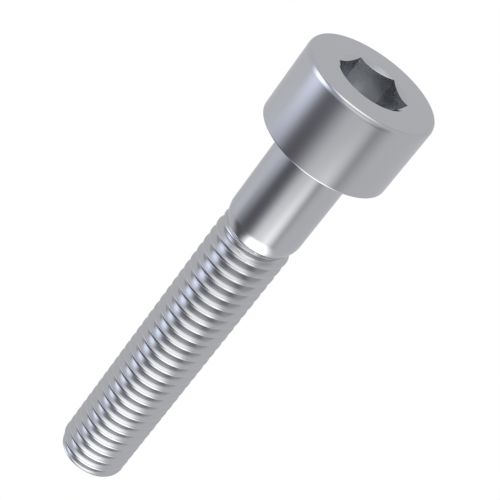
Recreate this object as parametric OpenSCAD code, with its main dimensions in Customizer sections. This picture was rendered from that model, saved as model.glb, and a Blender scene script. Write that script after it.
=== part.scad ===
// Socket head cap screw, metric coarse thread, standing on its head.
// The origin is the middle of the head's flat top. +Z runs along the axis to the tip.
// The head is at the bottom, with its socket facing down, and the thread is at the top.

/* [Head] */
// Diameter of the head
head_d = 8.5; // [8:0.1:10]
// Height of the head, from its flat top to its bearing face
head_h = 4.9; // [4.5:0.1:6]
// Radius of the rounded edge round the head's flat top
top_round = 0.25; // [0.1:0.05:0.5]
// Bevel on the edge between the head's side and its bearing face
rim_bevel = 0.06; // [0.03:0.01:0.15]

/* [Hex socket] */
// Width of the hex socket across its flats
socket_af = 4; // [3:0.1:4.4]
// Depth of the socket's flats, from the head's flat top
socket_depth = 2.5; // [1.8:0.1:2.8]
// How far the cone at the socket's mouth reaches past the hexagon's corners
mouth_margin = 0.02; // [0.01:0.01:0.2]
// Full angle of the cone at the socket's mouth
mouth_angle = 120; // [90:5:140]
// Full angle of the cone at the socket's floor
floor_angle = 140; // [118:2:160]

/* [Shank] */
// Diameter of the plain shank
shank_d = 5; // [4.8:0.05:5.5]
// Length from the bearing face to the tip
length = 29.95; // [20:0.05:50]
// Length of the plain shank, from the bearing face to its rounded shoulder
plain_len = 6.3; // [2:0.1:9]
// Radius of the fillet between the bearing face and the shank
under_head_fillet = 0.25; // [0.1:0.05:0.4]
// Radius of the rounded shoulder where the plain shank ends
shoulder_round = 1.83; // [0.8:0.05:3]
// Diameter of the neck between the shoulder and the thread
neck_d = 4.36; // [4.3:0.02:4.6]
// Length of the neck
neck_len = 0.15; // [0.1:0.05:0.6]

/* [Thread] */
// Diameter over the thread's crests
thread_d = 4.9; // [4.85:0.01:5.1]
// Pitch of the thread
pitch = 0.8; // [0.7:0.05:1]
// Angle between the two flanks of the thread
flank_angle = 60; // [55:1:65]
// Width of the rounded crest
crest_w = 0.14; // [0.1:0.01:0.2]
// Width of the rounded root
root_w = 0.16; // [0.1:0.01:0.2]
// How far the crest's edges and the root's edges are rounded away
edge_round = 0.03; // [0.01:0.01:0.05]
// Distance from the neck's shoulder to the first crest, above a corner of the hexagon
thread_lead = 0.13; // [0:0.01:0.6]
// Length over which the thread rises from the neck to its full height
runout_len = 0.3; // [0.2:0.05:1.5]
// Diameter of the flat point
point_d = 3.9; // [3.4:0.05:3.95]
// Full angle of the cone that leads to the flat point
point_angle = 90; // [80:5:120]

/* [Hidden] */
steel = [0.67, 0.68, 0.69];
// Smoothness of the turned profiles
fine = 96;
// Facets round one turn of the thread
thread_facets = 28;
// A length by which a cutting body runs past what it cuts
over = 0.5;
// How deep the thread's core starts under the neck's surface
core_sink = 0.1;

head_r = head_d / 2;
shank_r = shank_d / 2;
neck_r = neck_d / 2;
crest_r = thread_d / 2;
point_r = point_d / 2;
socket_r = socket_af / 2 / cos(30);
mouth_r = socket_r + mouth_margin;

tip_z = head_h + length;
shoulder_z = head_h + plain_len;
shoulder_mid_r = shank_r - shoulder_round;
shoulder_len = sqrt(pow(shoulder_round, 2) - pow(neck_r - shoulder_mid_r, 2));
neck_z = shoulder_z + shoulder_len;
neck_end_z = neck_z + neck_len;

// The thread's section over one pitch, as six rows from crest to root and back
thread_depth = (pitch - crest_w - root_w) / 2 / tan(flank_angle / 2) + 2 * edge_round;
row_at = [-crest_w / 2, 0, crest_w / 2,
          (pitch - root_w) / 2, pitch / 2, (pitch + root_w) / 2];
row_drop = [edge_round, 0, edge_round,
            thread_depth - edge_round, thread_depth, thread_depth - edge_round];
rows = len(row_at);

// The core starts one turn below the neck's end, inside the shank
core_r = neck_r - core_sink;
first_crest_z = neck_z + thread_lead - 2 * pitch;
turns = ceil((tip_z + over - first_crest_z) / pitch);
last_row = turns * rows;

// Height of row i at column j: the rows climb by one pitch in each turn
function row_z(i, j) =
    first_crest_z + pitch * (floor(i / rows) + j / thread_facets) + row_at[i % rows];

// Share of the full thread that has risen at height z
function risen(z) = min(1, max(0, (z - neck_z) / runout_len));

function thread_r(i, z) = core_r + (crest_r - row_drop[i % rows] - core_r) * risen(z);

function thread_point(i, j) =
    let (z = row_z(i, j), r = thread_r(i, z), turn = 360 * j / thread_facets)
    [r * cos(turn), r * sin(turn), z];

// Index of row i at column j: past the last column, a row goes on as the row one turn higher
function spot(i, j) =
    j < thread_facets ? i * thread_facets + j : (i + rows) * thread_facets + j - thread_facets;

// The threaded rod as one closed body, longer than needed at both ends
module thread_rod() {
    grid = [for (i = [0:last_row + rows], j = [0:thread_facets - 1]) thread_point(i, j)];
    low_mid = len(grid);
    high_mid = low_mid + 1;
    ends = [[0, 0, row_z(0, 0)], [0, 0, row_z(last_row + rows, 0)]];
    skin = [for (i = [0:last_row - 1], j = [0:thread_facets - 1], half = [0, 1])
        half == 0
            ? [spot(i, j), spot(i + 1, j), spot(i + 1, j + 1)]
            : [spot(i, j), spot(i + 1, j + 1), spot(i, j + 1)]];
    low_fan = [for (j = [0:thread_facets - 1]) [low_mid, spot(0, j), spot(0, j + 1)]];
    low_step = [for (i = [0:rows - 1]) [low_mid, spot(i + 1, 0), spot(i, 0)]];
    high_fan = [for (j = [0:thread_facets - 1])
        [high_mid, spot(last_row, j + 1), spot(last_row, j)]];
    high_step = [for (i = [last_row:last_row + rows - 1])
        [high_mid, spot(i, 0), spot(i + 1, 0)]];
    polyhedron(concat(grid, ends), concat(skin, low_fan, low_step, high_fan, high_step));
}

// The rod's outer limit: a flat end and a cone down to the flat point
module point_limit() {
    rise = (crest_r + over - point_r) / tan(point_angle / 2);
    rotate_extrude($fn = fine)
        polygon([[0, first_crest_z - pitch], [crest_r + over, first_crest_z - pitch],
                 [crest_r + over, tip_z - rise], [point_r, tip_z], [0, tip_z]]);
}

module thread() {
    intersection() {
        thread_rod();
        point_limit();
    }
}

// Half section of the head, with its rounded top edge and its bevelled rim
module head_section() {
    difference() {
        union() {
            square([head_r - top_round, head_h]);
            translate([0, top_round]) square([head_r, head_h - top_round]);
            translate([head_r - top_round, top_round]) circle(top_round, $fn = fine);
        }
        polygon([[head_r + over, head_h - rim_bevel - over], [head_r + over, head_h + over],
                 [head_r - rim_bevel - over, head_h + over]]);
        translate([-over, -over]) square([over, head_h + 2 * over]);
    }
}

// Half section of the fillet under the head
module fillet_section() {
    difference() {
        translate([0, head_h - over]) square([shank_r + under_head_fillet, over + under_head_fillet]);
        translate([shank_r + under_head_fillet, head_h + under_head_fillet])
            circle(under_head_fillet, $fn = fine);
    }
}

// Half section of the plain shank, its rounded shoulder and the neck
module shank_section() {
    translate([0, head_h - over]) square([shank_r, plain_len + over]);
    intersection() {
        translate([shoulder_mid_r, shoulder_z]) circle(shoulder_round, $fn = 2 * fine);
        translate([0, shoulder_z]) square([shank_r, shoulder_len]);
    }
    translate([0, shoulder_z]) square([neck_r, shoulder_len + neck_len]);
}

// The socket as a cutting body: mouth cone, hexagon and floor cone
module socket() {
    mouth_slope = tan(mouth_angle / 2);
    translate([0, 0, -over])
        cylinder(h = over + mouth_r / mouth_slope, r1 = mouth_r + over * mouth_slope, r2 = 0, $fn = fine);
    translate([0, 0, -over]) cylinder(h = socket_depth + over, r = socket_r, $fn = 6);
    translate([0, 0, socket_depth])
        cylinder(h = socket_af / 2 / tan(floor_angle / 2), d1 = socket_af, d2 = 0, $fn = fine);
}

module cap_screw() {
    color(steel) {
        difference() {
            rotate_extrude($fn = fine) {
                head_section();
                fillet_section();
                shank_section();
            }
            socket();
        }
        thread();
    }
}

cap_screw();
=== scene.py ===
"""Looks of a socket head cap screw that stands on its head.

The screw is one closed surface, worked out ring by ring from the middle of the socket's floor
to the middle of the tip. Sizes are in millimetres and the mesh is in metres.
"""

import logging
import math
from dataclasses import dataclass, field
from enum import Enum

import bpy
import numpy as np
from mathutils import Matrix, Vector


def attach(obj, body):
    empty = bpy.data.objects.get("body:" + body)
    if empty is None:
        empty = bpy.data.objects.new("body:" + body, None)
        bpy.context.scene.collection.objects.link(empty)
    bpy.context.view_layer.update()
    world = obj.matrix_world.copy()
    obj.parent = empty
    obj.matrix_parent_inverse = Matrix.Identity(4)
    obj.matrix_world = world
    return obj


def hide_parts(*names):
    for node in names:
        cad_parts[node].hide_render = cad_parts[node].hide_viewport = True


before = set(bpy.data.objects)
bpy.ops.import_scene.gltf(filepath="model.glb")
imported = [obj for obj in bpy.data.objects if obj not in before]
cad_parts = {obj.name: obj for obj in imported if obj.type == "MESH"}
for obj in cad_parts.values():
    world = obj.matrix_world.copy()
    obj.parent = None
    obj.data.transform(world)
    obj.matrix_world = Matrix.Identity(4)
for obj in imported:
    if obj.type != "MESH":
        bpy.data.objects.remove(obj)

LOG = logging.getLogger("cap_screw")
MM = 0.001
NODE = "cap_screw"

# Two places closer than this, in millimetres or degrees, count as the same
NEAR = 0.001
NEAR_ANGLE = 0.01
# A rounded corner has a ring on each side at this many times its reach
FLAT_REACH = 1.6
# The camera's side of the screw, in degrees from the X axis
CAMERA_SIDE = -81.0


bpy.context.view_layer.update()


def put_in_scene(name: str, data: bpy.types.ID) -> bpy.types.Object:
    """Makes the object of a mesh, a lamp or a camera and links it to the scene.

    Args:
        name: name of the object.
        data: the mesh, the lamp or the camera.

    Returns:
        The object, at the origin.
    """
    item = bpy.data.objects.new(name, data)
    bpy.context.scene.collection.objects.link(item)
    return item


def ring(radius: np.ndarray | float, height: np.ndarray | float, columns: int) -> np.ndarray:
    """Gives one ring of the surface as (columns, 2): radius and height at each column."""
    return np.stack([np.broadcast_to(radius, columns), np.broadcast_to(height, columns)], axis=1)


def round_corner(
    before: np.ndarray, corner: np.ndarray, after: np.ndarray, reach: float | np.ndarray,
    steps: int = 4
) -> list[np.ndarray]:
    """Rounds the corner that three rings make.

    Formula: a curve of the second degree from the point that lies reach before the corner to
    the point that lies reach after it, with the corner as its middle point. One more ring on
    each side keeps the neighbouring faces flat.

    Args:
        before: the ring before the corner.
        corner: the ring at the corner.
        after: the ring after the corner.
        reach: how far the curve reaches from the corner, in all or in each column.
        steps: number of strips along the curve.

    Returns:
        The rings that take the corner's place, in order.
    """

    def way_to(target: np.ndarray) -> np.ndarray:
        """Gives the direction from the corner to another ring, of length 1."""
        way = target - corner
        return way / np.linalg.norm(way, axis=1, keepdims=True)

    start, end = corner + reach * way_to(before), corner + reach * way_to(after)
    share = np.linspace(0.0, 1.0, steps + 1)
    curve = [(1 - t) ** 2 * start + 2 * t * (1 - t) * corner + t**2 * end for t in share]
    far = FLAT_REACH * reach
    return [corner + far * way_to(before), *curve, corner + far * way_to(after)]


def arc(
    centre: tuple[float, float], size: tuple[float, float], turn: tuple[float, float],
    steps: int, columns: int
) -> list[np.ndarray]:
    """Gives the rings along a quarter of an ellipse, or a part of it.

    Formula: radius = centre + half width x cosine, height = centre + half height x sine, with
    the angle in equal steps.

    Args:
        centre: radius and height of the middle of the ellipse.
        size: half width along the radius and half height along the axis.
        turn: first and last angle, in degrees, from the radius towards the tip.
        steps: number of strips.
        columns: number of points round a ring.

    Returns:
        The rings in order.
    """
    angle = np.radians(np.linspace(turn[0], turn[1], steps + 1))
    radius = centre[0] + size[0] * np.cos(angle)
    height = centre[1] + size[1] * np.sin(angle)
    return [ring(r, z, columns) for r, z in zip(radius, height)]


def cone_rise(full_angle: float) -> float:
    """Gives how much a cone with this full angle, in degrees, rises per step to its axis."""
    return math.tan(math.radians(90 - full_angle / 2))


def band_faces(grid: np.ndarray) -> np.ndarray:
    """Gives the faces of a grid of points whose last column joins its first.

    Args:
        grid: point numbers, as (rows, columns).

    Returns:
        Four point numbers for each face, as (count, 4).
    """
    around = np.concatenate([grid, grid[:, :1]], axis=1)
    low, high = around[:-1], around[1:]
    return np.stack([low[:, :-1], high[:, :-1], high[:, 1:], low[:, 1:]], -1).reshape(-1, 4)


@dataclass
class HexSocket:
    """The hexagonal socket: floor cone, six flats and the cone at its mouth.

    The shares place the rings of the floor, as parts of its radius, and of the flats, as parts
    of their depth. The land is the part of the head's flat top round the mouth.
    """

    across_flats: float = 4.0
    depth: float = 2.5
    floor_angle: float = 140.0
    mouth_angle: float = 120.0
    mouth_margin: float = 0.02
    edge_reach: float = 0.03
    small_reach: float = 0.02
    floor_shares: tuple[float, ...] = (0.04, 0.3, 0.62, 0.9)
    foot_share: float = 0.975
    wall_shares: tuple[float, ...] = (0.8, 0.6, 0.4, 0.22)
    land: float = 0.3

    @property
    def apothem(self) -> float:
        """Distance from the axis to a flat."""
        return self.across_flats / 2

    @property
    def corner_radius(self) -> float:
        """Distance from the axis to a corner between two flats."""
        return self.apothem / math.cos(math.radians(30))

    @property
    def mouth_radius(self) -> float:
        """Radius of the circle at the mouth."""
        return self.corner_radius + self.mouth_margin

    @property
    def apex(self) -> float:
        """Height of the middle of the floor."""
        return self.depth + self.apothem * cone_rise(self.floor_angle)

    def outline(self, turn: np.ndarray) -> np.ndarray:
        """Gives the hexagon's radius: apothem over the cosine of the turn from a flat's middle."""
        sixth = math.radians(60)
        return self.apothem / np.cos((turn % sixth) - sixth / 2)

    def creases(self, points: np.ndarray) -> np.ndarray:
        """Finds the points that lie on the corners between two flats.

        Args:
            points: positions in metres, as (count, 3).

        Returns:
            True for each point on a corner.
        """
        radius = np.hypot(points[:, 0], points[:, 1]) / MM
        height = points[:, 2] / MM
        off = np.degrees(np.arctan2(points[:, 1], points[:, 0])) % 60
        return (
            (np.minimum(off, 60 - off) < NEAR_ANGLE)
            & (np.abs(radius - self.corner_radius) < 2 * NEAR)
            & (height < self.depth + NEAR)
        )

    def cone_rings(self, wall: np.ndarray) -> tuple[np.ndarray, np.ndarray]:
        """Gives the ends of the mouth's cone, at the flats and at the head's flat top."""
        height = (self.mouth_radius - wall) * cone_rise(self.mouth_angle)
        return ring(wall, height, len(wall)), ring(self.mouth_radius, 0.0, len(wall))

    def wall_rings(self, turn: np.ndarray) -> list[np.ndarray]:
        """Gives the rings from the floor to the edge between the flats and the mouth's cone.

        Args:
            turn: angle of each column, in radians.

        Returns:
            The rings in order.
        """
        count, wall = len(turn), self.outline(turn)
        slope = cone_rise(self.floor_angle)
        floor = [
            ring(r, self.depth + (self.apothem - r) * slope, count)
            for r in np.array(self.floor_shares) * self.apothem
        ]
        foot = ring(self.apothem * self.foot_share, self.depth, count)
        corner = ring(wall, self.depth, count)
        middle = [ring(wall, self.depth * share, count) for share in self.wall_shares]
        lip, mouth = self.cone_rings(wall)
        reach = np.minimum(self.edge_reach, self.gap(wall))
        return [
            *floor,
            foot,
            *round_corner(foot, corner, middle[0], self.small_reach),
            *middle,
            *round_corner(middle[-1], lip, mouth, reach),
        ]

    def mouth_rings(self, turn: np.ndarray) -> list[np.ndarray]:
        """Gives the rings from the mouth's cone to the head's flat top.

        Args:
            turn: angle of each column, in radians.

        Returns:
            The rings in order.
        """
        wall = self.outline(turn)
        lip, mouth = self.cone_rings(wall)
        top = ring(self.mouth_radius + self.land, 0.0, len(turn))
        reach = np.minimum(self.small_reach, self.gap(wall))
        return [*round_corner(lip, mouth, top, reach), top]

    def gap(self, wall: np.ndarray) -> np.ndarray:
        """Gives a quarter of the mouth cone's width at each column, as (columns, 1)."""
        return ((self.mouth_radius - wall) / 4)[:, None]


@dataclass
class Head:
    """The round head, with its rounded top edge and the rim at its bearing face.

    Guards are rings close to a rounding that keep the surface beyond it flat. Spans are the
    distances from a rounding to the next rings of the side or the bearing face.
    """

    diameter: float = 8.5
    height: float = 4.9
    edge_in: float = 0.2
    edge_down: float = 0.34
    edge_steps: int = 14
    rim_reach: float = 0.07
    rim_steps: int = 6
    land: float = 0.5
    guards: tuple[float, float] = (0.03, 0.04)
    side_rings: int = 4
    side_span: tuple[float, float] = (0.7, 1.6)
    rim_span: tuple[float, float] = (0.8, 0.6)

    def rings(self, columns: int) -> list[np.ndarray]:
        """Gives the head's rings from its flat top to its bearing face.

        Formula: a straight profile turned round the axis, with a quarter of an ellipse at its
        top edge and a rounded corner at its rim.

        Args:
            columns: number of points round a ring.

        Returns:
            The rings in order.
        """
        edge, top, low = self.diameter / 2, self.edge_down, self.height
        start, size = edge - self.edge_in, (self.edge_in, self.edge_down)
        side = np.linspace(top + self.side_span[0], low - self.side_span[1], self.side_rings)
        rim = ring(edge, low, columns)
        last = ring(edge, low - self.rim_span[0], columns)
        bearing = ring(edge - self.rim_span[1], low, columns)
        return [
            ring(start - self.land, 0.0, columns),
            ring(start - self.guards[0], 0.0, columns),
            *arc((start, top), size, (-90, 0), self.edge_steps, columns),
            ring(edge, top + self.guards[1], columns),
            *[ring(edge, z, columns) for z in side],
            last,
            *round_corner(last, rim, bearing, self.rim_reach, self.rim_steps),
            bearing,
        ]


@dataclass
class Shank:
    """The plain shank, from the fillet under the head to the step down to the neck.

    The cylinder ends in a rounded shoulder whose arc runs out into a short cone, and a small
    step leads from the cone's end to the neck. Guards are rings close to a rounding that keep
    the surface beyond it straight: at the fillet, before the shoulder and before the step.
    """

    start: float
    radius: float = 2.5
    fillet: float = 0.25
    fillet_steps: int = 8
    plain_length: float = 6.3
    side_rings: int = 6
    side_span: float = 0.6
    shoulder_round: float = 1.83
    shoulder_tilt: float = 21.0
    shoulder_steps: int = 14
    shoulder_end: float = 2.23
    neck_radius: float = 2.1
    step_rise: float = 0.02
    step_round: float = 0.004
    guards: tuple[float, float, float] = (0.04, 0.05, 0.06)

    @property
    def shoulder_height(self) -> float:
        """Height at which the shoulder starts."""
        return self.start + self.plain_length

    @property
    def lean(self) -> float:
        """Loss of the cone's radius for each step along the axis."""
        return math.tan(math.radians(self.shoulder_tilt))

    @property
    def cone_end(self) -> float:
        """Height at which the shoulder's cone ends.

        Formula: the cone starts where the arc's tilt equals its own, and falls from there to
        the shoulder's end.

        Returns:
            The height, from the head's flat top.
        """
        tilt = math.radians(self.shoulder_tilt)
        radius = self.radius - self.shoulder_round + self.shoulder_round * math.cos(tilt)
        height = self.shoulder_height + self.shoulder_round * math.sin(tilt)
        return height + (radius - self.shoulder_end) / self.lean

    @property
    def neck_height(self) -> float:
        """Height at which the neck starts, above the step."""
        return self.cone_end + self.step_rise

    def rings(self, columns: int) -> list[np.ndarray]:
        """Gives the shank's rings from the fillet under the head to the neck.

        Formula: a quarter circle for the fillet, a straight side, the shoulder's arc and cone,
        and the step, all turned round the axis.

        Args:
            columns: number of points round a ring.

        Returns:
            The rings in order.
        """
        near, before, after = self.guards
        low, high, foot = self.start + self.fillet, self.shoulder_height, self.radius + self.fillet
        size = (self.fillet, self.fillet)
        fillet = arc((foot, low), size, (-90, -180), self.fillet_steps, columns)
        side = np.linspace(low + self.side_span, high - self.side_span, self.side_rings)
        middle, size = self.radius - self.shoulder_round, (self.shoulder_round,) * 2
        shoulder = arc((middle, high), size, (0, self.shoulder_tilt), self.shoulder_steps, columns)
        cone = [
            ring(self.shoulder_end + ahead, self.cone_end - ahead / self.lean, columns)
            for ahead in (after, self.step_round)
        ]
        step = self.shoulder_end - self.step_round, self.cone_end + self.step_round / 2
        return [
            ring(foot + near, self.start, columns),
            *fillet,
            ring(self.radius, low + near, columns),
            *[ring(self.radius, z, columns) for z in side],
            ring(self.radius, high - before, columns),
            *shoulder,
            *cone,
            ring(*step, columns),
        ]


@dataclass
class RolledThread:
    """The rolled right-hand thread, from the neck to the flat point.

    A row of the thread's grid climbs by one pitch in each turn, so rows run along crest and
    root and a crest is never cut across. The rows are shares of the way from an edge of the
    crest to the root, on the side below the crest and on the side above it. The bends give the
    flank's tilt, in degrees, at shares of the same way.
    """

    start: float
    end: float
    neck_radius: float
    crest_radius: float = 2.45
    pitch: float = 0.8
    depth: float = 0.457
    crest_edges: tuple[float, float] = (0.09, 0.04)
    rows_below: tuple[float, ...] = (-0.06, 0.0, 0.03, 0.09, 0.27, 0.48, 0.7, 0.93, 1.0)
    rows_above: tuple[float, ...] = (-0.04, 0.0, 0.03, 0.09, 0.38, 0.7, 0.93, 1.0)
    bend_at: tuple[float, ...] = (0.0, 0.03, 0.7, 1.0)
    bend_tilt: tuple[float, ...] = (0.0, 47.3, 56.9, 59.7)
    flank_steps: int = 800
    first_crest: float = 0.146
    runout: float = 0.3
    spare_turns: int = 3
    point_radius: float = 2.04
    point_reach: float = 0.07
    point_blend: float = 0.05
    point_land: float = 0.03
    bevel_span: float = 0.3
    face_span: float = 0.4
    face_radii: tuple[float, ...] = (0.9, 0.1)

    @property
    def cut_height(self) -> float:
        """Height of the plane at which the grid ends and the point's own rings start."""
        return self.end - self.point_reach - self.point_land

    def section(self) -> tuple[np.ndarray, np.ndarray]:
        """Gives the thread's section over one pitch.

        Formula: the crest is flat between its two edges. From an edge to the root, at plus or
        minus half a pitch, the flank's tilt follows straight steps and the drop is the running
        sum of the tilt's tangent, scaled to the depth. The tilt grows, so the ridge swells
        outwards and its root is a narrow V.

        Returns:
            Distance from the crest along the axis, from minus to plus half a pitch, and drop
            below the crest.
        """
        share = np.linspace(0.0, 1.0, self.flank_steps + 1)
        slope = np.tan(np.radians(np.interp(share, self.bend_at, self.bend_tilt)))
        fall = np.concatenate([[0.0], np.cumsum(slope[1:] + slope[:-1])])
        below, above = np.array(self.rows_below), np.array(self.rows_above)
        low, high = (
            edge + (self.pitch / 2 - edge) * rows
            for edge, rows in zip(self.crest_edges, (below, above))
        )
        drops = [np.interp(rows, share, self.depth * fall / fall[-1]) for rows in (below, above)]
        return np.concatenate([-low[-2::-1], high]), np.concatenate([drops[0][-2::-1], drops[1]])

    def envelope(self, height: np.ndarray) -> np.ndarray:
        """Gives the radius that the point's 45 degree bevel allows at each height."""
        return self.point_radius + (self.end - height)

    def radius(self, drop: np.ndarray, height: np.ndarray) -> np.ndarray:
        """Gives the thread's radius.

        Formula: crest radius less the drop, mixed with the neck's radius over the run-out by a
        smooth step, and then the smaller of that and the bevel at the point, with the crease
        between them rounded.

        Args:
            drop: drop of the section below the crest.
            height: height along the axis.

        Returns:
            The radius at each point.
        """
        share = np.clip((height - self.start) / self.runout, 0.0, 1.0)
        risen = share**2 * (3 - 2 * share)
        full = self.neck_radius + (self.crest_radius - drop - self.neck_radius) * risen
        limit, blend = self.envelope(height), self.point_blend
        mix = np.clip(0.5 + 0.5 * (limit - full) / blend, 0.0, 1.0)
        return limit * (1 - mix) + full * mix - blend * mix * (1 - mix)

    def lattice(self, turn: np.ndarray) -> tuple[np.ndarray, np.ndarray, np.ndarray, int]:
        """Gives the grid of the thread, which reaches past both of its ends.

        Formula: height = first crest + pitch x (number of the turn + angle / full turn) +
        distance of the row from its crest.

        Args:
            turn: angle of each column, in radians.

        Returns:
            Radius, height and share of the depth at each row and column, and the number of
            rows in one pitch.
        """
        along, drop = self.section()
        rows = len(along)
        low = self.start + self.first_crest - self.spare_turns * self.pitch
        turns = math.ceil((self.end - low) / self.pitch) + self.spare_turns
        level = low + self.pitch * np.repeat(np.arange(turns), rows) + np.tile(along, turns)
        height = level[:, None] + self.pitch * turn[None, :] / (2 * math.pi)
        fall = np.tile(drop, turns)[:, None]
        hollow = np.broadcast_to(fall / self.depth, height.shape)
        return self.radius(fall, height), height, hollow, rows

    def end_ring(self, turn: np.ndarray, height: float) -> np.ndarray:
        """Gives the ring at which a plane cuts the thread.

        Args:
            turn: angle of each column, in radians.
            height: height of the plane.

        Returns:
            The ring, with the thread's own radius at each column.
        """
        along, drop = self.section()
        phase = (height - self.start - self.first_crest) / self.pitch - turn / (2 * math.pi)
        place = ((phase + 0.5) % 1.0 - 0.5) * self.pitch
        rows = np.append(-self.pitch / 2, along)
        cut = np.interp(place, rows, np.append(drop[-1], drop))
        return ring(self.radius(cut, np.full(len(turn), height)), height, len(turn))

    def point_rings(self, columns: int) -> list[np.ndarray]:
        """Gives the rings of the flat point.

        Args:
            columns: number of points round a ring.

        Returns:
            The rings in order, from the bevel over the rounded edge to near the axis.
        """
        edge = ring(self.point_radius, self.end, columns)
        before = ring(self.point_radius + self.bevel_span, self.end - self.bevel_span, columns)
        after = ring(self.point_radius - self.face_span, self.end, columns)
        rounded = round_corner(before, edge, after, self.point_reach)[1:]
        return [*rounded, after, *[ring(r, self.end, columns) for r in self.face_radii]]


class ScrewSkin:
    """Joins the parts' rings and the thread's grid into one closed mesh.

    The weld is the distance from an end ring within which the grid takes the ring's points.
    """

    weld: float = 0.006

    def __init__(self, turn: np.ndarray) -> None:
        """Starts an empty skin.

        Args:
            turn: angle of each column, in radians, from 0 to less than a full turn.
        """
        self.turn = turn
        self.points: list[np.ndarray] = []
        self.hollow: list[np.ndarray] = []
        self.faces: list[np.ndarray] = []
        self.finish_of: list[np.ndarray] = []
        self.count = 0

    def _add_points(
        self, radius: np.ndarray, height: np.ndarray, turn: np.ndarray,
        hollow: np.ndarray | float = 0.0
    ) -> np.ndarray:
        """Adds points.

        Args:
            radius: distance of each point from the axis.
            height: height of each point along the axis.
            turn: angle of each point, in radians.
            hollow: share of the thread's depth at which each point lies.

        Returns:
            The points' numbers.
        """
        xyz = np.stack([radius * np.cos(turn), radius * np.sin(turn), height], axis=-1)
        self.points.append(xyz.reshape(-1, 3) * MM)
        self.hollow.append(np.broadcast_to(hollow, radius.shape).ravel())
        first = self.count
        self.count += radius.size
        return np.arange(first, self.count).reshape(radius.shape)

    def _add_quads(self, low: np.ndarray, high: np.ndarray, finish: int) -> None:
        """Adds the faces between rows of point numbers.

        Args:
            low: numbers of one row or more, each one column longer than its faces.
            high: numbers of the row after each of them.
            finish: number of the faces' material.
        """
        quads = np.stack([low[..., :-1], low[..., 1:], high[..., 1:], high[..., :-1]], axis=-1)
        self.faces.append(quads.reshape(-1, 4))
        self.finish_of.append(np.full(quads.size // 4, finish))

    def add_pole(self, height: float) -> int:
        """Adds a point on the axis and returns its number."""
        zero = np.zeros(1)
        return int(self._add_points(zero, zero + height, zero)[0])

    def close_pole(self, pole: int, edge: np.ndarray, finish: int, outwards: bool) -> None:
        """Adds the fan between a point on the axis and a ring.

        Args:
            pole: number of the point on the axis.
            edge: point numbers of the ring.
            finish: number of the fan's material.
            outwards: True if the ring comes after the pole, False if before it.
        """
        tip = np.full(len(edge) + 1, pole)
        around = np.append(edge, edge[0])
        if outwards:
            self._add_quads(tip, around, finish)
        else:
            self._add_quads(around, tip, finish)

    def add_rings(
        self, rings: list[np.ndarray], finish: int, last: np.ndarray | None = None
    ) -> np.ndarray:
        """Adds rings and the strips between them.

        Args:
            rings: the rings in order.
            finish: number of the material of the strips.
            last: point numbers of the ring that the first strip starts from, or None.

        Returns:
            The point numbers of the last ring.
        """
        stack = np.stack(rings)
        numbers = self._add_points(stack[..., 0], stack[..., 1], self.turn[None, :])
        if last is not None:
            numbers = np.concatenate([last[None, :], numbers])
        closed = np.concatenate([numbers, numbers[:, :1]], axis=1)
        self._add_quads(closed[:-1], closed[1:], finish)
        return numbers[-1]

    def add_thread(
        self, thread: RolledThread, low: np.ndarray, high: np.ndarray, finish: int
    ) -> None:
        """Adds the thread between two rings.

        Points that lie beyond a ring, or within the weld of it, take that ring's points, so
        their faces have no area and are dropped when the mesh is made.

        Args:
            thread: the thread.
            low: point numbers of the ring at the neck.
            high: point numbers of the ring at the point.
            finish: number of the thread's material.
        """
        radius, height, hollow, rows = thread.lattice(self.turn)
        below = height < thread.start + self.weld
        above = height > thread.cut_height - self.weld
        free = ~(below | above)
        numbers = np.empty(height.shape, dtype=np.int64)
        turn = np.broadcast_to(self.turn[None, :], height.shape)
        numbers[free] = self._add_points(radius[free], height[free], turn[free], hollow[free])
        numbers = np.where(below, low[None, :], np.where(above, high[None, :], numbers))
        ahead = np.concatenate([numbers[rows:, :1], np.repeat(high[None, :1], rows, axis=0)])
        closed = np.concatenate([numbers, ahead], axis=1)
        self._add_quads(closed[:-1], closed[1:], finish)

    def build(self, name: str) -> bpy.types.Object:
        """Makes the mesh object.

        Faces with two equal corners become triangles or are dropped.

        Args:
            name: name of the object.

        Returns:
            The object, linked to the scene, with smooth shading.
        """
        quads, finish = np.concatenate(self.faces), np.concatenate(self.finish_of)
        same = quads == np.roll(quads, -1, axis=1)
        whole = ~same.any(axis=1)
        first, second = quads[~whole][:, [0, 1, 2]], quads[~whole][:, [0, 2, 3]]
        halves = np.concatenate([first, second])
        half_finish = np.tile(finish[~whole], 2)
        sound = ~(halves == np.roll(halves, -1, axis=1)).any(axis=1)
        triangles = halves[sound]
        quads = quads[whole]
        corners = np.concatenate([quads.ravel(), triangles.ravel()]).astype(np.int32)
        starts = np.concatenate(
            [np.arange(len(quads)) * 4, len(quads) * 4 + np.arange(len(triangles)) * 3]
        ).astype(np.int32)
        points = np.concatenate(self.points).astype(np.float32)
        mesh = bpy.data.meshes.new(name)
        mesh.vertices.add(len(points))
        mesh.vertices.foreach_set("co", points.ravel())
        mesh.loops.add(len(corners))
        mesh.loops.foreach_set("vertex_index", corners)
        mesh.polygons.add(len(starts))
        mesh.polygons.foreach_set("loop_start", starts)
        slots = np.concatenate([finish[whole], half_finish[sound]]).astype(np.int32)
        mesh.polygons.foreach_set("material_index", slots)
        mesh.update(calc_edges=True)
        mesh.validate()
        mesh.shade_smooth()
        depth = mesh.attributes.new("thread_depth", "FLOAT", "POINT")
        depth.data.foreach_set("value", np.concatenate(self.hollow).astype(np.float32))
        return put_in_scene(name, mesh)


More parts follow.
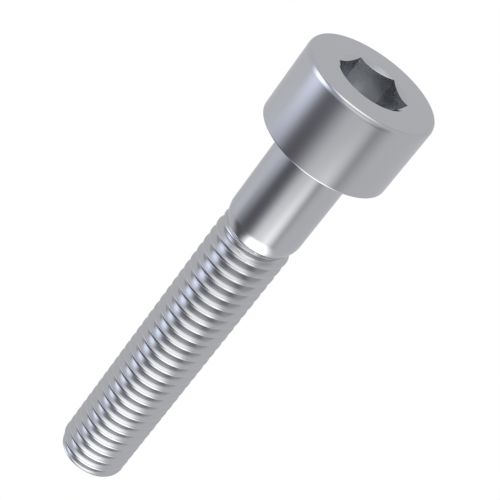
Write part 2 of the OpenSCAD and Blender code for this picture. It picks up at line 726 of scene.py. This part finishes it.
class NodeWriter:
    """Adds nodes to a node tree and joins them."""

    def __init__(self, tree: bpy.types.NodeTree) -> None:
        """Keeps the tree that the nodes go into."""
        self.tree = tree

    @classmethod
    def blank(cls, owner: bpy.types.Material | bpy.types.World) -> "NodeWriter":
        """Turns on the nodes of a material or a world and clears them.

        Args:
            owner: the material or the world.

        Returns:
            A writer for its tree.
        """
        owner.use_nodes = True
        owner.node_tree.nodes.clear()
        return cls(owner.node_tree)

    def add(self, kind: str, **settings: object) -> bpy.types.Node:
        """Adds a node.

        Args:
            kind: the node's type in Blender.
            settings: properties of the node and their values.

        Returns:
            The node.
        """
        node = self.tree.nodes.new(kind)
        for name, value in settings.items():
            setattr(node, name, value)
        return node

    def feed(self, socket: bpy.types.NodeSocket, value: object) -> None:
        """Joins an output to a socket, or sets the socket to a plain value.

        Args:
            socket: the input that is fed.
            value: the output, number or colour that feeds it.
        """
        if isinstance(value, bpy.types.NodeSocket):
            self.tree.links.new(value, socket)
        else:
            socket.default_value = value

    def math(self, operation: str, *values: object) -> bpy.types.NodeSocket:
        """Adds a Math node.

        Args:
            operation: what the node does.
            values: what goes into its inputs, in order.

        Returns:
            The node's output.
        """
        node = self.add("ShaderNodeMath", operation=operation)
        for socket, value in zip(node.inputs, values):
            self.feed(socket, value)
        return node.outputs[0]

    def span(
        self, value: object, low: float, high: float, new_low: float, new_high: float,
        smooth: bool = False
    ) -> bpy.types.NodeSocket:
        """Maps one range of values to another, clamped.

        Args:
            value: what is mapped.
            low: value at which the new range starts.
            high: value at which the new range ends.
            new_low: start of the new range.
            new_high: end of the new range.
            smooth: True for a smooth step between them, False for a straight line.

        Returns:
            The mapped value's output.
        """
        node = self.add("ShaderNodeMapRange")
        if smooth:
            node.interpolation_type = "SMOOTHSTEP"
        for socket, entry in zip(node.inputs, (value, low, high, new_low, new_high)):
            self.feed(socket, entry)
        return node.outputs[0]

    def noise(
        self, where: bpy.types.NodeSocket, scale: object, detail: float, roughness: float = 0.5,
        **settings: object
    ) -> bpy.types.NodeSocket:
        """Adds a Noise Texture node.

        Args:
            where: the coordinates that it reads.
            scale: how many patches it has in a unit.
            detail: how many finer layers it has.
            roughness: share of the finer layers.
            settings: properties of the node and their values.

        Returns:
            The output of the noise's value.
        """
        node = self.add("ShaderNodeTexNoise", **settings)
        for name, value in (
            ("Vector", where), ("Scale", scale), ("Detail", detail), ("Roughness", roughness)
        ):
            self.feed(node.inputs[name], value)
        return node.outputs[0]

    def blend(self, share: object, *shaders: bpy.types.NodeSocket) -> bpy.types.NodeSocket:
        """Adds a Mix Shader node.

        Args:
            share: share of the second shader, from 0 to 1.
            shaders: the first and the second shader.

        Returns:
            The output of the mixed shader.
        """
        node = self.add("ShaderNodeMixShader")
        for socket, value in zip(node.inputs, (share, *shaders)):
            self.feed(socket, value)
        return node.outputs[0]


class SurfaceEffects:
    """The effects that all finishes of the steel share, each a node group.

    A range gives the value at which an effect starts and the one at which it is full. The
    patches, in which tool marks fade, are this many in a metre.
    """

    patches: float = 900.0
    patch_range: tuple[float, float] = (0.35, 0.65)
    cloud_range: tuple[float, float] = (0.32, 0.68)
    speck_range: tuple[float, float] = (0.56, 0.74)
    edge_range: tuple[float, float] = (0.15, 1.0)

    def __init__(self) -> None:
        """Builds each group once."""
        self.marks = self._tool_marks()
        self.patina = self._patina()
        # Masks of the rubbed edges and of the painted shade in the thread's root
        self.wear_and_shade = self._edge_and_root_shade_masks()

    @staticmethod
    def _group(name: str, inputs: dict[str, float], outputs: list[str]) -> NodeWriter:
        """Makes an empty group with named float sockets.

        Args:
            name: name of the group.
            inputs: name and first value of each input.
            outputs: names of the outputs.

        Returns:
            A writer for the group's tree.
        """
        tree = bpy.data.node_groups.new(name, "ShaderNodeTree")
        kind = "NodeSocketFloat"
        for label, value in inputs.items():
            socket = tree.interface.new_socket(label, in_out="INPUT", socket_type=kind)
            socket.default_value = value
        for label in outputs:
            tree.interface.new_socket(label, in_out="OUTPUT", socket_type=kind)
        return NodeWriter(tree)

    def _tool_marks(self) -> NodeWriter:
        """Builds fine marks that run round the axis, as a turning tool or a die leaves them.

        Formula: noise over radius and height only, so it is constant round a circle, with a
        slow noise over the whole surface that makes the marks come and go.

        Returns:
            The group's writer, with the output Height, from 0 to 1.
        """
        sheet = self._group("tool_marks", {"Spacing": 0.1, "Breaks": 0.5}, ["Height"])
        given, out = sheet.add("NodeGroupInput"), sheet.add("NodeGroupOutput")
        place = sheet.add("ShaderNodeTexCoord")
        split = sheet.add("ShaderNodeSeparateXYZ")
        sheet.feed(split.inputs[0], place.outputs["Object"])
        squares = [sheet.math("POWER", split.outputs[axis], 2.0) for axis in "XY"]
        radius = sheet.math("SQRT", sheet.math("ADD", *squares))
        pace = sheet.math("DIVIDE", 1.0 / MM, given.outputs["Spacing"])
        flat = sheet.add("ShaderNodeCombineXYZ")
        sheet.feed(flat.inputs["X"], sheet.math("MULTIPLY", radius, pace))
        sheet.feed(flat.inputs["Y"], sheet.math("MULTIPLY", split.outputs["Z"], pace))
        lines = sheet.noise(
            flat.outputs[0], scale=1.0, detail=3.0, roughness=0.6, noise_dimensions="2D"
        )
        patches = sheet.noise(place.outputs["Object"], self.patches, detail=2.0)
        come = sheet.span(patches, *self.patch_range, 0.0, 1.0, smooth=True)
        mask = sheet.math("SUBTRACT", 1.0, sheet.math("MULTIPLY", given.outputs["Breaks"], come))
        centred = sheet.math("SUBTRACT", lines, 0.5)
        height = sheet.math("ADD", 0.5, sheet.math("MULTIPLY", centred, mask))
        sheet.feed(out.inputs["Height"], height)
        return sheet

    def _patina(self) -> NodeWriter:
        """Builds soft cloudy patches and fine specks, as handled bright steel has.

        Returns:
            The group's writer, with the outputs Cloud and Speck, both from 0 to 1.
        """
        sheet = self._group("patina", {"Cloud Size": 2.0, "Speck Size": 0.08}, ["Cloud", "Speck"])
        given, out = sheet.add("NodeGroupInput"), sheet.add("NodeGroupOutput")
        place = sheet.add("ShaderNodeTexCoord")
        kinds = (("Cloud", 3.0, self.cloud_range), ("Speck", 1.0, self.speck_range))
        for label, detail, limits in kinds:
            scale = sheet.math("DIVIDE", 1.0 / MM, given.outputs[f"{label} Size"])
            noise = sheet.noise(place.outputs["Object"], scale, detail)
            sheet.feed(out.inputs[label], sheet.span(noise, *limits, 0.0, 1.0, smooth=True))
        return sheet

    def _edge_and_root_shade_masks(self) -> NodeWriter:
        """Builds masks of the outer edges, rubbed bright, and of the thread's root, for painted
        shade.

        Formula: Edge is the surface's pointiness over the reach. Root is the share of the
        thread's depth, from the point where the painted shade and rougher steel start to the
        bottom.

        Returns:
            The group's writer, with the outputs Edge and Root, both from 0 to 1.
        """
        sheet = self._group("edge_wear_and_root_shade", {"Reach": 0.06, "Start": 0.82}, ["Edge", "Root"])
        given, out = sheet.add("NodeGroupInput"), sheet.add("NodeGroupOutput")
        shape = sheet.add("ShaderNodeNewGeometry")
        bend = sheet.math("SUBTRACT", shape.outputs["Pointiness"], 0.5)
        share = sheet.math("DIVIDE", bend, given.outputs["Reach"])
        sheet.feed(out.inputs["Edge"], sheet.span(share, *self.edge_range, 0.0, 1.0, smooth=True))
        # Root mask: painted shade in the thread's root, and its higher roughness
        depth = sheet.add("ShaderNodeAttribute", attribute_name="thread_depth")
        root = sheet.span(depth.outputs["Fac"], given.outputs["Start"], 1.0, 0.0, 1.0, smooth=True)
        sheet.feed(out.inputs["Root"], root)
        return sheet


@dataclass(frozen=True)
class SteelFinish:
    """Bright steel as one way of working leaves it.

    Swings are how far the clouds and the marks change the roughness, each way, and the mark
    range is the heights between which they do. The darker tone, as a share of the colour, is what
    the painted shade in the thread's root and the specks of dirt go down to.
    """

    name: str
    colour: tuple[float, float, float]
    roughness: float
    mark_spacing: float
    mark_height: float
    cloud_size: float
    rubbed: float
    # Strength of the painted shade that darkens the thread's root
    root_shade_and_roughening: float
    shade_and_dirt_tone: float = 0.5
    speck_soil: float = 0.05
    cloud_swing: float = 0.015
    mark_swing: float = 0.012
    mark_range: tuple[float, float] = (0.3, 0.7)
    root_rise: float = 0.06

    def material(self, effects: SurfaceEffects) -> bpy.types.Material:
        """Builds the finish.

        Base colour is darker in the thread's root, as painted shade, and in specks of dirt.
        Roughness changes with the clouds and the tool marks, falls on rubbed edges and rises in
        hollows. The marks give a faint bump.

        Args:
            effects: the shared node groups.

        Returns:
            The material.
        """
        material = bpy.data.materials.new(self.name)
        material.use_nodes = True
        sheet = NodeWriter(material.node_tree)
        shader = material.node_tree.nodes["Principled BSDF"]
        shader.inputs["Metallic"].default_value = 1.0
        marks = sheet.add("ShaderNodeGroup", node_tree=effects.marks.tree)
        marks.inputs["Spacing"].default_value = self.mark_spacing
        patina = sheet.add("ShaderNodeGroup", node_tree=effects.patina.tree)
        patina.inputs["Cloud Size"].default_value = self.cloud_size
        wear_and_shade = sheet.add("ShaderNodeGroup", node_tree=effects.wear_and_shade.tree)
        tint = sheet.add("ShaderNodeMix", data_type="RGBA")
        shade_and_dirt_colour = tuple(self.shade_and_dirt_tone * part for part in self.colour)
        sheet.feed(tint.inputs["A"], (*self.colour, 1.0))
        sheet.feed(tint.inputs["B"], (*shade_and_dirt_colour, 1.0))
        # Painted shade: the thread's root is mixed towards the darker tone, and so are specks of
        # dirt
        shade_and_dirt_share = sheet.math(
            "MAXIMUM",
            sheet.math("MULTIPLY", wear_and_shade.outputs["Root"], self.root_shade_and_roughening),
            sheet.math("MULTIPLY", patina.outputs["Speck"], self.speck_soil),
        )
        sheet.feed(tint.inputs["Factor"], shade_and_dirt_share)
        sheet.feed(shader.inputs["Base Color"], tint.outputs["Result"])
        swing = (-self.cloud_swing, self.cloud_swing)
        clouds = sheet.span(patina.outputs["Cloud"], 0.0, 1.0, *swing)
        swing = (-self.mark_swing, self.mark_swing)
        lines = sheet.span(marks.outputs["Height"], *self.mark_range, *swing)
        rubbed = sheet.math("MULTIPLY", wear_and_shade.outputs["Edge"], self.rubbed)
        root_shade_and_roughening = sheet.math("MULTIPLY", wear_and_shade.outputs["Root"], self.root_rise)
        rough = sheet.math("ADD", self.roughness, sheet.math("ADD", clouds, lines))
        rough = sheet.math("ADD", sheet.math("SUBTRACT", rough, rubbed), root_shade_and_roughening)
        sheet.feed(shader.inputs["Roughness"], rough)
        bump = sheet.add("ShaderNodeBump")
        bump.inputs["Strength"].default_value = 1.0
        bump.inputs["Distance"].default_value = self.mark_height * MM
        sheet.feed(bump.inputs["Height"], marks.outputs["Height"])
        sheet.feed(shader.inputs["Normal"], bump.outputs["Normal"])
        return material


class Zone(Enum):
    """The zones of the screw, each with the number of its material."""

    TURNED = 0
    ROLLED = 1
    PUNCHED = 2


STEEL = (0.65, 0.65, 0.652)
SOCKET_STEEL = (0.632, 0.64, 0.652)
# Each finish paints shade into the thread's root at the strength given last in its entry
FINISHES = {
    Zone.TURNED: SteelFinish(
        "turned_steel", STEEL, roughness=0.11, mark_spacing=0.09, mark_height=0.00006,
        cloud_size=2.4, rubbed=0.04, root_shade_and_roughening=0.4
    ),
    Zone.ROLLED: SteelFinish(
        "rolled_thread_steel", STEEL, roughness=0.11, mark_spacing=0.06, mark_height=0.00004,
        cloud_size=1.2, rubbed=0.04, root_shade_and_roughening=0.6
    ),
    Zone.PUNCHED: SteelFinish(
        "punched_socket_steel", SOCKET_STEEL, roughness=0.22, mark_spacing=0.14,
        mark_height=0.0001, cloud_size=1.5, rubbed=0.03, root_shade_and_roughening=0.5
    ),
}


@dataclass
class CapScrew:
    """The whole screw: socket, head, shank and thread in one closed skin."""

    columns: int = 150
    length: float = 29.95
    socket: HexSocket = field(default_factory=HexSocket)
    head: Head = field(default_factory=Head)

    def build(self, effects: SurfaceEffects) -> bpy.types.Object:
        """Builds the screw's mesh and gives it its finishes.

        Args:
            effects: the shared node groups.

        Returns:
            The screw's object.
        """
        count = self.columns
        turn = np.arange(count) * 2 * math.pi / count
        tip = self.head.height + self.length
        shank = Shank(start=self.head.height)
        thread = RolledThread(start=shank.neck_height, end=tip, neck_radius=shank.neck_radius)
        punched, rolled = Zone.PUNCHED.value, Zone.ROLLED.value
        skin = ScrewSkin(turn)
        pole = skin.add_pole(self.socket.apex)
        walls = self.socket.wall_rings(turn)
        first = skin.add_rings(walls[:1], punched)
        skin.close_pole(pole, first, punched, outwards=True)
        last = skin.add_rings(walls[1:], punched, first)
        turned = [*self.socket.mouth_rings(turn), *self.head.rings(count), *shank.rings(count)]
        turned.append(thread.end_ring(turn, thread.start))
        neck = skin.add_rings(turned, Zone.TURNED.value, last)
        edge = skin.add_rings([thread.end_ring(turn, thread.cut_height)], rolled)
        skin.add_thread(thread, neck, edge, rolled)
        last = skin.add_rings(thread.point_rings(count), rolled, edge)
        skin.close_pole(skin.add_pole(tip), last, rolled, outwards=False)
        screw = skin.build("screw")
        self._crease(screw.data)
        for zone in Zone:
            screw.data.materials.append(FINISHES[zone].material(effects))
        return screw

    def _crease(self, mesh: bpy.types.Mesh) -> None:
        """Keeps the shading sharp along the socket's corners.

        Args:
            mesh: the screw's mesh.
        """
        points = np.empty(len(mesh.vertices) * 3, dtype=np.float32)
        mesh.vertices.foreach_get("co", points)
        ends = np.empty(len(mesh.edges) * 2, dtype=np.int32)
        mesh.edges.foreach_get("vertices", ends)
        on_corner = self.socket.creases(points.reshape(-1, 3))[ends.reshape(-1, 2)].all(axis=1)
        sharp = mesh.attributes.get("sharp_edge") or mesh.attributes.new(
            "sharp_edge", "BOOLEAN", "EDGE"
        )
        sharp.data.foreach_set("value", on_corner)


def directions(azimuth: np.ndarray, elevation: np.ndarray) -> np.ndarray:
    """Gives directions of length 1 from two angles in radians, with x, y, z on a last axis."""
    flat = np.cos(elevation)
    return np.stack([flat * np.cos(azimuth), flat * np.sin(azimuth), np.sin(elevation)], axis=-1)


class Tone(Enum):
    """Brightness and tint of what stands round the screw."""

    WALL = (0.588, 0.597, 0.629)
    NADIR_CARD = (1.33, 1.36, 1.40)
    LOW_CARD = (1.60, 1.62, 1.64)
    FRONT_CARD = (0.90, 0.94, 1.00)
    RIGHT_POST = (0.28, 0.29, 0.31)
    LEFT_POST = (0.42, 0.44, 0.53)
    LEFT_FOOT = (0.36, 0.36, 0.38)
    LEFT_LAMP = (1.62, 1.73, 2.13)
    LOW_COOL = (1.16, 1.28, 1.66)
    RIGHT_SHADE = (0.36, 0.37, 0.39)
    LEFT_STRIP = (0.69, 0.71, 0.80)
    FLAG_LOW = (0.13, 0.13, 0.15)
    FLAG_HIGH = (0.12, 0.12, 0.13)
    CEILING = (2.07, 2.09, 2.14)


@dataclass(frozen=True)
class Panel:
    """A flat panel of the studio, as the screw sees it.

    A corner is given by degrees round the axis from the camera's side, positive to the
    picture's left, and degrees above the floor. The blur is in degrees too.
    """

    name: str
    tone: Tone
    corners: tuple[tuple[float, float], ...]
    blur: float

    def cover(self, ways: np.ndarray) -> np.ndarray:
        """Gives how much of each direction the panel covers.

        Formula: each edge of the panel and the screw make a plane. The sine of the angle from
        that plane, over the blur, goes through a smooth step, and the steps of all edges are
        multiplied.

        Args:
            ways: directions of length 1, as (count, 3).

        Returns:
            A share from 0 to 1 for each direction.
        """
        side, rise = np.array(self.corners, dtype=float).T
        points = directions(np.radians(side + CAMERA_SIDE), np.radians(rise))
        middle = points.mean(axis=0)
        share = np.ones(len(ways))
        for first, second in zip(points, np.roll(points, -1, axis=0)):
            plane = np.cross(first, second)
            plane *= np.sign(plane @ middle) / np.linalg.norm(plane)
            step = np.clip(0.5 + 0.5 * (ways @ plane) / math.sin(math.radians(self.blur)), 0, 1)
            share *= step**2 * (3 - 2 * step)
        return share


@dataclass
class Surroundings:
    """A dome of soft panels that only the metal's reflections see."""

    radius: float = 0.6
    rows: int = 120
    columns: int = 240
    panels: tuple[Panel, ...] = (
        Panel("nadir_card", Tone.NADIR_CARD, ((-42, -70), (50, -70), (147, -81), (-153, -81)), 14),
        Panel("low_card", Tone.LOW_CARD, ((-40, -43), (50, -18), (54, -55), (-56, -57)), 14),
        Panel("front_card", Tone.FRONT_CARD, ((-27, -16), (22, -15), (9, 4), (-30, 2)), 15),
        Panel("right_post", Tone.RIGHT_POST, ((-58, -23), (-51, -17), (-19, 33), (-64, 29)), 16),
        Panel("left_post", Tone.LEFT_POST, ((26, -40), (64, -41), (59, 18), (15, 20)), 11),
        Panel("left_foot", Tone.LEFT_FOOT, ((53, -21), (93, -27), (92, -35), (52, -45)), 6),
        Panel("left_lamp", Tone.LEFT_LAMP, ((50, -17), (83, -23), (85, 35), (52, 29)), 14),
        Panel("low_cool", Tone.LOW_COOL, ((80, -51), (103, -47), (99, -56), (72, -53)), 7),
        Panel(
            "right_shade", Tone.RIGHT_SHADE,
            ((-119, -43), (-83, -53), (-58, -65), (-113, -55)), 7
        ),
        Panel("left_strip", Tone.LEFT_STRIP, ((40, 29), (82, 21), (123, 25), (50, 39)), 10),
        Panel("flag_low", Tone.FLAG_LOW, ((6, 17), (43, 11), (90, 35), (65, 62)), 16),
        Panel("flag_high", Tone.FLAG_HIGH, ((71, 36), (162, 65), (163, 76), (28, 42)), 12),
        Panel("ceiling", Tone.CEILING, ((-38, 28), (13, 38), (74, 78), (178, 58), (-121, 63)), 13),
    )

    def build(self) -> bpy.types.Object:
        """Builds the dome.

        Formula: a sphere on a grid of elevation and azimuth. Its colour at a point starts as the
        wall's and is mixed with each panel's colour in turn by the share that it covers.

        Returns:
            The dome's object.
        """
        rise = np.radians(np.linspace(-90, 90, self.rows + 1))[1:-1]
        side = np.linspace(0, 2 * math.pi, self.columns, endpoint=False)
        rise_at, side_at = np.meshgrid(rise, side, indexing="ij")
        ways = directions(side_at, rise_at).reshape(-1, 3)
        ways = np.concatenate([ways, [[0, 0, -1], [0, 0, 1]]])
        colour = np.tile(np.array(Tone.WALL.value), (len(ways), 1))
        for panel in self.panels:
            share = panel.cover(ways)[:, None]
            colour = colour * (1 - share) + np.array(panel.tone.value) * share
        grid = np.arange((self.rows - 1) * self.columns).reshape(self.rows - 1, self.columns)
        low, high = np.full((2, self.columns), [[len(ways) - 2], [len(ways) - 1]])
        fans = [
            np.stack([low, grid[0], np.roll(grid[0], -1)], -1),
            np.stack([high, np.roll(grid[-1], -1), grid[-1]], -1),
        ]
        faces = band_faces(grid).tolist() + np.concatenate(fans).tolist()
        mesh = bpy.data.meshes.new("studio_dome")
        mesh.from_pydata((ways * self.radius).tolist(), [], faces)
        shade = mesh.attributes.new("panel_colour", "FLOAT_COLOR", "POINT")
        shade.data.foreach_set("color", np.column_stack([colour, np.ones(len(colour))]).ravel())
        mesh.shade_smooth()
        dome = put_in_scene("studio_dome", mesh)
        mesh.materials.append(self._glow())
        for kind in ("camera", "diffuse", "transmission", "volume_scatter", "shadow"):
            setattr(dome, f"visible_{kind}", False)
        return dome

    def _glow(self) -> bpy.types.Material:
        """Builds the dome's material, which shines with the panels' colours.

        Returns:
            The material.
        """
        material = bpy.data.materials.new("studio_panels")
        material.cycles.emission_sampling = "NONE"
        sheet = NodeWriter.blank(material)
        shade = sheet.add("ShaderNodeAttribute", attribute_name="panel_colour")
        glow = sheet.add("ShaderNodeEmission")
        out = sheet.add("ShaderNodeOutputMaterial")
        sheet.feed(glow.inputs["Color"], shade.outputs["Color"])
        sheet.feed(out.inputs["Surface"], glow.outputs[0])
        return material


@dataclass
class Floor:
    """The pale floor. It keeps the screw's shadow and is clear from below.

    Sizes are in metres. The fade gives where the matt surface starts to turn white and where
    it is all white.
    """

    radius: float = 1.2
    inner: float = 0.01
    rings: int = 12
    degrees: float = 7.5
    drop: float = 0.00002
    fade: tuple[float, float] = (0.04, 0.16)
    colour: tuple[float, float, float] = (0.9, 0.9, 0.9)

    def build(self) -> bpy.types.Object:
        """Builds the floor.

        Formula: a disc of rings whose radii grow by equal factors.

        Returns:
            The floor's object.
        """
        radii = np.geomspace(self.inner, self.radius, self.rings)
        turn = np.radians(np.arange(0, 360, self.degrees))
        xy = radii[:, None, None] * np.stack([np.cos(turn), np.sin(turn)], axis=-1)[None]
        points = np.concatenate([xy, np.full((*xy.shape[:2], 1), -self.drop)], axis=-1)
        grid = np.arange(len(radii) * len(turn)).reshape(len(radii), len(turn))
        faces = band_faces(grid).tolist() + [grid[0].tolist()]
        mesh = bpy.data.meshes.new("floor")
        mesh.from_pydata(points.reshape(-1, 3).tolist(), [], faces)
        floor = put_in_scene("floor", mesh)
        mesh.materials.append(self._material())
        floor.visible_glossy = False
        return floor

    def _material(self) -> bpy.types.Material:
        """Builds the floor's material.

        It is a matt pale surface near the screw and turns to plain white far from it. Its back is
        clear, because the photograph looks up from below it.

        Returns:
            The material.
        """
        material = bpy.data.materials.new("pale_floor")
        sheet = NodeWriter.blank(material)
        matt = sheet.add("ShaderNodeBsdfDiffuse")
        matt.inputs["Color"].default_value = (*self.colour, 1.0)
        white = sheet.add("ShaderNodeEmission")
        clear = sheet.add("ShaderNodeBsdfTransparent")
        place = sheet.add("ShaderNodeTexCoord")
        length = sheet.add("ShaderNodeVectorMath", operation="LENGTH")
        sheet.feed(length.inputs[0], place.outputs["Object"])
        far = sheet.span(length.outputs["Value"], *self.fade, 0.0, 1.0, smooth=True)
        side = sheet.add("ShaderNodeNewGeometry")
        above = sheet.blend(far, matt.outputs[0], white.outputs[0])
        through = sheet.blend(side.outputs["Backfacing"], above, clear.outputs[0])
        out = sheet.add("ShaderNodeOutputMaterial")
        sheet.feed(out.inputs["Surface"], through)
        return material


@dataclass(frozen=True)
class SoftLamp:
    """A large soft lamp that lights the floor. Places and sizes are in metres."""

    name: str
    place: tuple[float, float, float]
    size: float
    power: float
    aim: tuple[float, float, float] = (0.0, 0.0, 0.015)

    def build(self) -> bpy.types.Object:
        """Builds the lamp, turned towards the screw.

        Returns:
            The lamp's object.
        """
        data = bpy.data.lights.new(self.name, "AREA")
        data.shape = "DISK"
        data.size = self.size
        data.energy = self.power
        lamp = put_in_scene(self.name, data)
        lamp.location = self.place
        way = Vector(self.aim) - Vector(self.place)
        lamp.rotation_euler = way.to_track_quat("-Z", "Y").to_euler()
        lamp.visible_glossy = False
        lamp.visible_camera = False
        return lamp


@dataclass(frozen=True)
class PhotoCamera:
    """The camera at the photograph's place, from the head's side and below the floor."""

    place: tuple[float, float, float] = (10.188, -64.443, -27.023)
    forward: tuple[float, float, float] = (-0.13532, 0.83783, 0.52889)
    up: tuple[float, float, float] = (0.53587, 0.51088, -0.67219)
    lens: float = 90.32
    sensor: float = 36.0
    clip: tuple[float, float] = (0.005, 5.0)

    def build(self) -> bpy.types.Object:
        """Builds the camera and makes it the scene's.

        Returns:
            The camera's object.
        """
        back = -Vector(self.forward).normalized()
        right = Vector(self.up).cross(back).normalized()
        up = back.cross(right)
        turn = Matrix((right, up, back)).transposed().to_4x4()
        data = bpy.data.cameras.new("photo_camera")
        data.lens, data.sensor_width = self.lens, self.sensor
        data.clip_start, data.clip_end = self.clip
        camera = put_in_scene("photo_camera", data)
        camera.matrix_world = Matrix.Translation(Vector(self.place) * MM) @ turn
        bpy.context.scene.camera = camera
        return camera


@dataclass
class Studio:
    """Camera, white background, floor, soft lamps and the panels round the screw."""

    ambient: float = 0.55
    lamps: tuple[SoftLamp, ...] = (
        SoftLamp("key_lamp", (-0.16, -0.2, 0.3), 0.22, 1.5),
        SoftLamp("fill_lamp", (0.28, -0.1, 0.24), 0.3, 0.8),
    )

    def build(self) -> None:
        """Builds all of the studio."""
        PhotoCamera().build()
        floor, dome = Floor().build(), Surroundings().build()
        for lamp in self.lamps:
            lamp.build()
        self._world()
        bpy.context.scene.view_settings.view_transform = "Standard"

    def _world(self) -> None:
        """Builds the world: white to camera and reflections, plain soft light to the rest."""
        world = bpy.data.worlds.new("white_studio")
        bpy.context.scene.world = world
        sheet = NodeWriter.blank(world)
        ray = sheet.add("ShaderNodeLightPath")
        seen = sheet.math("MAXIMUM", ray.outputs["Is Camera Ray"], ray.outputs["Is Glossy Ray"])
        seen = sheet.math("MAXIMUM", seen, ray.outputs["Is Transmission Ray"])
        sky = sheet.add("ShaderNodeBackground")
        sky.inputs["Color"].default_value = (1.0, 1.0, 1.0, 1.0)
        sheet.feed(sky.inputs["Strength"], sheet.span(seen, 0.0, 1.0, self.ambient, 1.0))
        out = sheet.add("ShaderNodeOutputWorld")
        sheet.feed(out.inputs["Surface"], sky.outputs[0])


def main() -> None:
    """Builds the studio and the screw, and reports each piece."""
    logging.basicConfig(level=logging.INFO, format="%(name)s: %(message)s")
    Studio().build()
    screw = CapScrew().build(SurfaceEffects())
    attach(screw, "root")
    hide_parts(NODE)
    faces = len(screw.data.polygons)
    LOG.info("%s: %d points, %d faces", screw.name, len(screw.data.vertices), faces)


if __name__ == "__main__":
    main()
